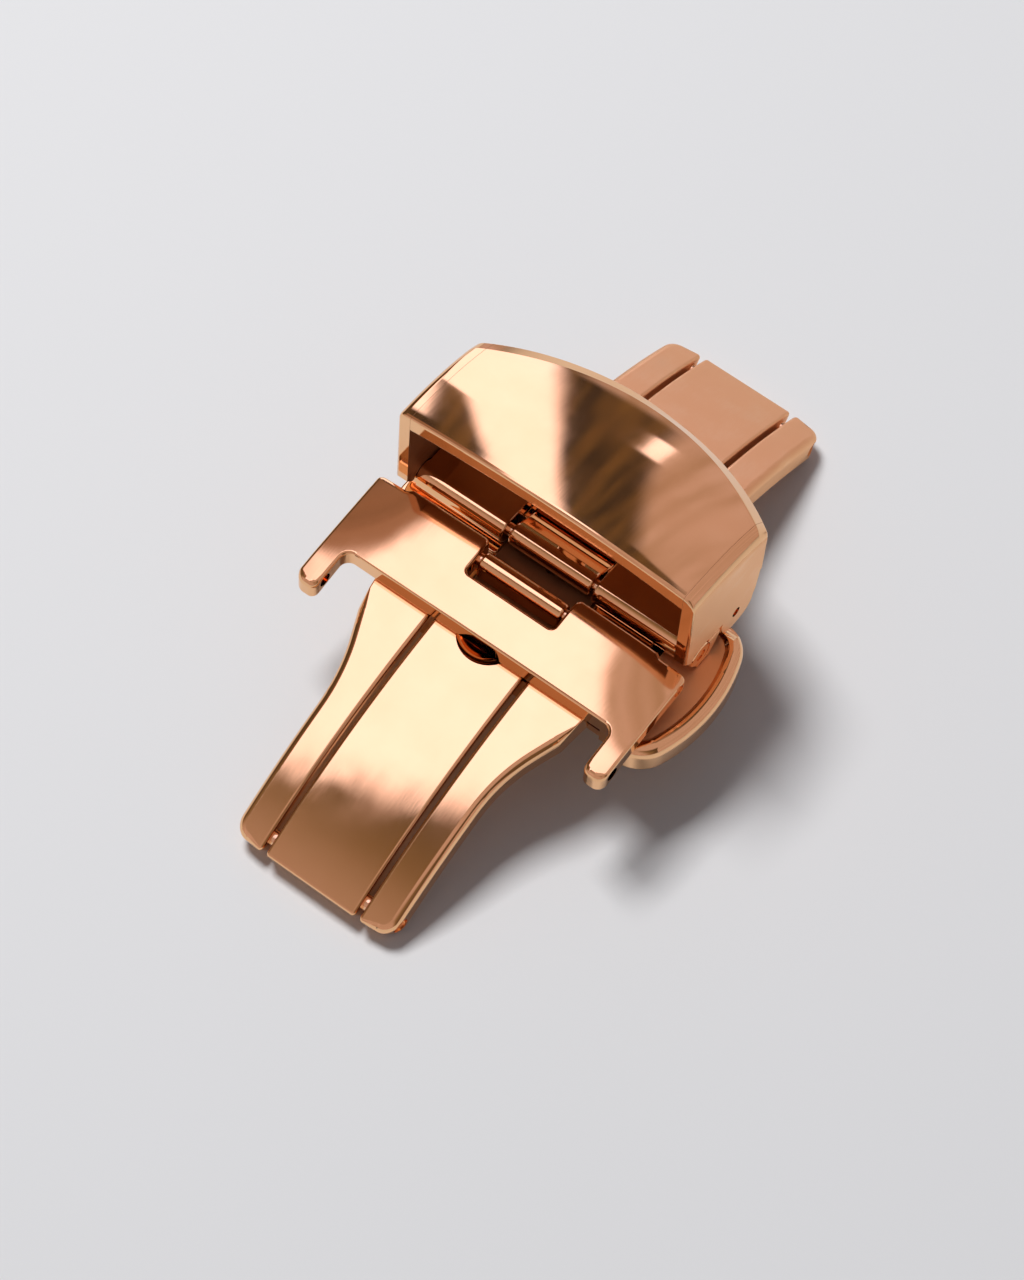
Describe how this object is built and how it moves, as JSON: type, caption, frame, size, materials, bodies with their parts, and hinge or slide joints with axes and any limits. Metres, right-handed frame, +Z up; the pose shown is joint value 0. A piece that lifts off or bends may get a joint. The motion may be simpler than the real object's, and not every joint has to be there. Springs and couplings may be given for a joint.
{
  "type": "deployant clasp",
  "caption": "Curved butterfly clasp for a watch strap, shown closed: two folding forks, a lug plate, a flip-up hood over the strap tunnel and a side push button.",
  "frame": {"origin": "middle of the whole footprint, on the plane that the two ends of the curved base stand on; the strap's middle lies 0.875 mm to the -X side of it, because the push button stands out on the +X side only", "axes": "+X across the strap towards the push button, -Y towards the lug plate's lugs, +Y towards the hood, +Z up out of the closed clasp, away from the wrist"},
  "size_m": [0.0228, 0.0418, 0.015],
  "materials": {
    "rose_gold": "polished",
    "pin_gold": "satin"
  },
  "bodies": {
    "base": {"base_strip": "rose_gold", "lock_housing": "rose_gold", "housing_rivets": "pin_gold", "front_hinge_pin": "pin_gold", "rear_hinge_pin": "pin_gold"},
    "front_arm": {"front_fork": "rose_gold", "front_catches": "rose_gold"},
    "lugs": {"lug_plate": "rose_gold", "front_cross_pin": "pin_gold"},
    "rear_arm": {"rear_fork": "rose_gold", "rear_catches": "rose_gold"},
    "floor": {"hood_floor": "rose_gold", "floor_cheeks": "rose_gold", "rear_cross_pin": "pin_gold", "strap_post": "rose_gold"},
    "hood_cover": {"hood": "rose_gold", "hood_pins": "pin_gold"},
    "right_button": {"button_right": "rose_gold", "slider_right": "rose_gold", "hooks_right": "rose_gold", "slider_rivets_right": "pin_gold"}
  },
  "joints": [
    {"name": "front_fork_open", "type": "hinge", "parent": "base", "child": "front_arm", "pos_m": [-0.00088, -0.01962, 0.00117], "axis": [1, 0, 0], "range_deg": [0, 160]},
    {"name": "lug_plate_turn", "type": "hinge", "parent": "front_arm", "child": "lugs", "pos_m": [-0.00088, -0.0018, 0.00794], "axis": [-1, 0, 0], "range_deg": [0, 95]},
    {"name": "rear_fork_open", "type": "hinge", "parent": "base", "child": "rear_arm", "pos_m": [-0.00088, 0.01962, 0.00117], "axis": [-1, 0, 0], "range_deg": [0, 160]},
    {"name": "hood_floor_turn", "type": "hinge", "parent": "rear_arm", "child": "floor", "pos_m": [-0.00088, 0.00115, 0.00724], "axis": [1, 0, 0], "range_deg": [0, 18]},
    {"name": "hood_flip", "type": "hinge", "parent": "floor", "child": "hood_cover", "pos_m": [-0.00088, 0.00446, 0.0075], "axis": [-1, 0, 0], "range_deg": [0, 41]},
    {"name": "right_button_press", "type": "slide", "parent": "base", "child": "right_button", "axis": [-1, 0, 0], "range_m": [0, 0.00055], "stiffness_N_per_m": 500, "springref_m": -0.001}
  ]
}
